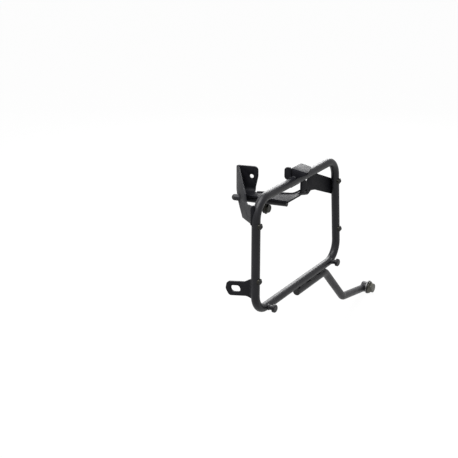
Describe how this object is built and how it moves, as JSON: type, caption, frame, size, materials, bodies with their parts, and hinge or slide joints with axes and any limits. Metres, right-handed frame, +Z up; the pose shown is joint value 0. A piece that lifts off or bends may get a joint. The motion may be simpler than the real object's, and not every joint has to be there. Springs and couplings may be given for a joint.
{
  "type": "motorcycle luggage rack",
  "caption": "Side luggage rack for a motorcycle: a bent tube loop with a folded stay, case hook, case pins, slotted lug and a cranked lower strut.",
  "frame": {"origin": "centre of the tail bolt hole, at the middle of the tall tab's thickness", "axes": "+X forward along the loop's rails, +Y inward to the bike, +Z up; the loop lies on the outer side"},
  "size_m": [0.592, 0.1874, 0.4385],
  "materials": {
    "powder_coat": "satin black powder coat",
    "cap_plastic": "matt black plastic",
    "dark_zinc": "black zinc plate",
    "bright_zinc": "bright zinc plate",
    "screw_black": "blackened steel"
  },
  "bodies": {
    "root": {"loop_tube": "powder_coat", "stay_plate": "powder_coat", "brace_plate": "powder_coat", "case_hook": "powder_coat", "lower_lug": "powder_coat", "arm_tube": "powder_coat", "bolt_tab": "powder_coat", "strut_tube": "powder_coat", "strut_sleeve": "powder_coat", "case_pin_rear": "powder_coat", "case_pin_front": "powder_coat", "arm_cap_outer": "cap_plastic", "arm_cap_inner": "cap_plastic", "strut_cap": "cap_plastic", "arm_bolt": "dark_zinc", "strut_bolt": "dark_zinc", "arm_washer": "bright_zinc", "arm_nut": "bright_zinc", "strut_washer": "bright_zinc", "rivet_nut_rear_upper": "dark_zinc", "case_screw_rear_upper": "screw_black", "rivet_nut_rear_lower": "dark_zinc", "case_screw_rear_lower": "screw_black", "rivet_nut_front_upper": "dark_zinc", "case_screw_front_upper": "screw_black", "rivet_nut_front_lower": "dark_zinc", "case_screw_front_lower": "screw_black"}
  },
  "joints": []
}
